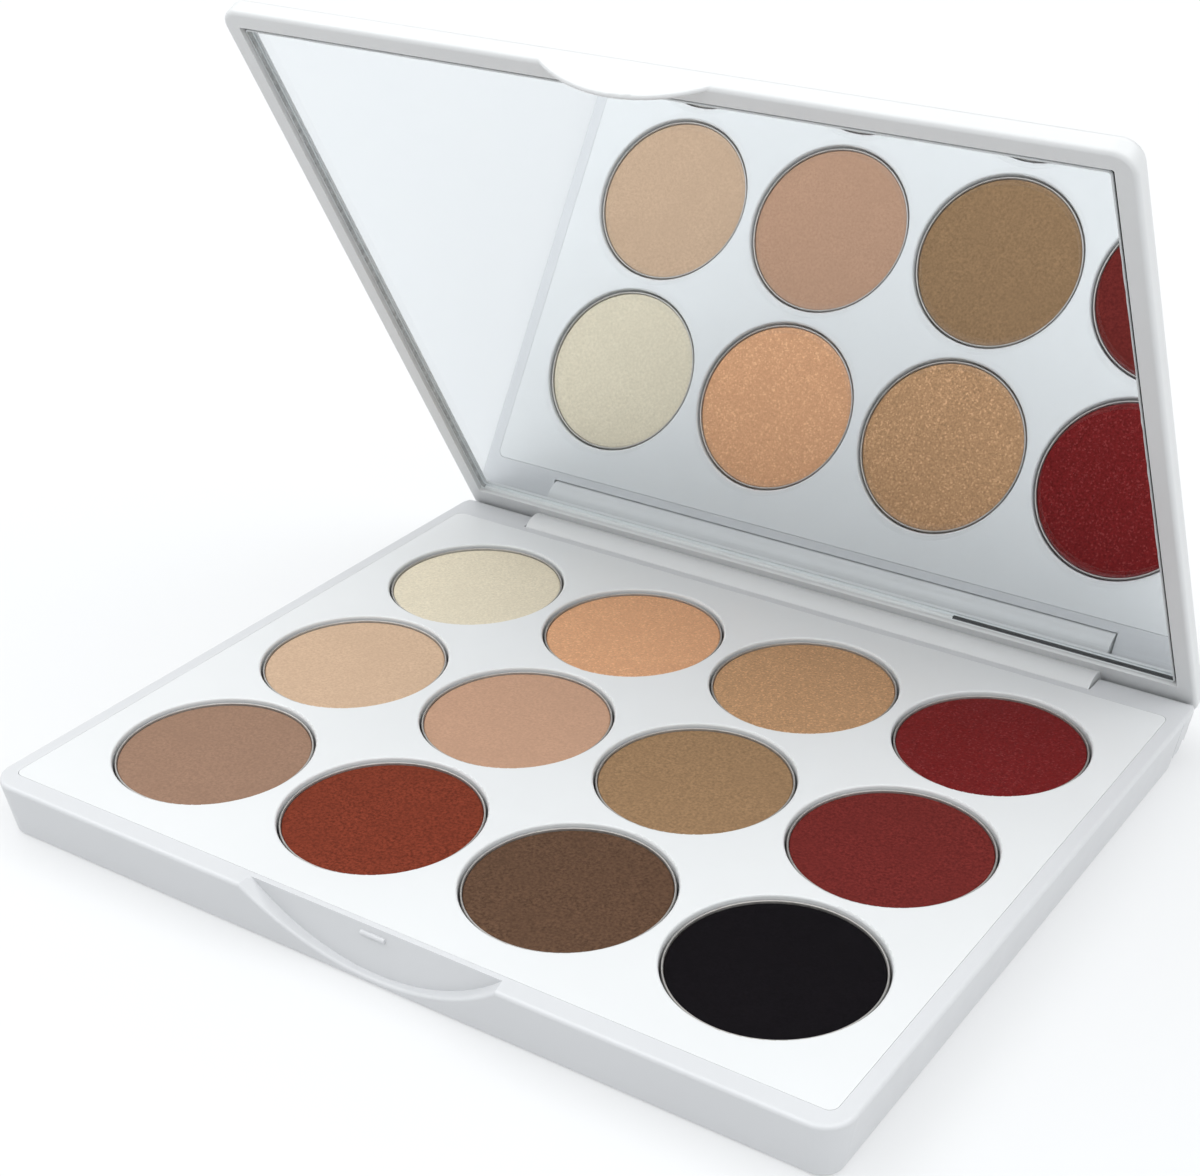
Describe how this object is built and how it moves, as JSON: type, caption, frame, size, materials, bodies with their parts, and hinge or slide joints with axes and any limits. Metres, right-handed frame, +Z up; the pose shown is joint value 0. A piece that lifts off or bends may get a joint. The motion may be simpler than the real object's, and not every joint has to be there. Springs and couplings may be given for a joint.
{
  "type": "eyeshadow palette",
  "caption": "Flat white makeup palette with a hinged lid that carries a full mirror, and round pans of pressed eyeshadow in a tray insert.",
  "frame": {"origin": "on the underside of the base, midway across the width and 52.2 mm behind the front face, which is the middle of the closed palette to within 0.3 mm", "axes": "+X to the right along the hinge axis, +Y to the rear towards the hinge, +Z up"},
  "size_m": [0.1258, 0.1072, 0.0964],
  "materials": {
    "white_case": "white moulded plastic, polished",
    "white_insert": "white moulded plastic, satin to gloss",
    "glue": "dull translucent glue and tape",
    "tinplate": "bright tinplate",
    "pin_steel": "drawn steel wire",
    "mirror": "silvered glass",
    "powder_ivory": "pressed powder with a faint satin sheen",
    "powder_peach": "pressed powder with fine shimmer",
    "powder_bronze": "pressed powder with fine shimmer",
    "powder_wine": "pressed powder with fine shimmer",
    "powder_beige": "pressed powder, matte",
    "powder_blush": "pressed powder, matte",
    "powder_olive": "pressed powder, matte",
    "powder_burgundy": "pressed powder, matte",
    "powder_taupe": "pressed powder, matte",
    "powder_rust": "pressed powder, matte",
    "powder_brown": "pressed powder, matte",
    "powder_black": "pressed powder, matte"
  },
  "bodies": {
    "base": {"base_shell": "white_case", "tray_insert": "white_insert", "pan_adhesive": "glue", "pan_ivory": "tinplate", "pan_peach": "tinplate", "pan_bronze": "tinplate", "pan_wine": "tinplate", "pan_beige": "tinplate", "pan_blush": "tinplate", "pan_olive": "tinplate", "pan_burgundy": "tinplate", "pan_taupe": "tinplate", "pan_rust": "tinplate", "pan_brown": "tinplate", "pan_black": "tinplate", "powder_ivory": "powder_ivory", "powder_peach": "powder_peach", "powder_bronze": "powder_bronze", "powder_wine": "powder_wine", "powder_beige": "powder_beige", "powder_blush": "powder_blush", "powder_olive": "powder_olive", "powder_burgundy": "powder_burgundy", "powder_taupe": "powder_taupe", "powder_rust": "powder_rust", "powder_brown": "powder_brown", "powder_black": "powder_black", "hinge_pin_left": "pin_steel", "hinge_pin_right": "pin_steel"},
    "lid": {"lid_shell": "white_case", "mirror": "mirror", "mirror_adhesive": "glue"}
  },
  "joints": [
    {"name": "lid_hinge", "type": "hinge", "parent": "base", "child": "lid", "pos_m": [0, 0.0492, 0.00575], "axis": [-1, 0, 0], "range_deg": [-61.5, 88.5]}
  ]
}
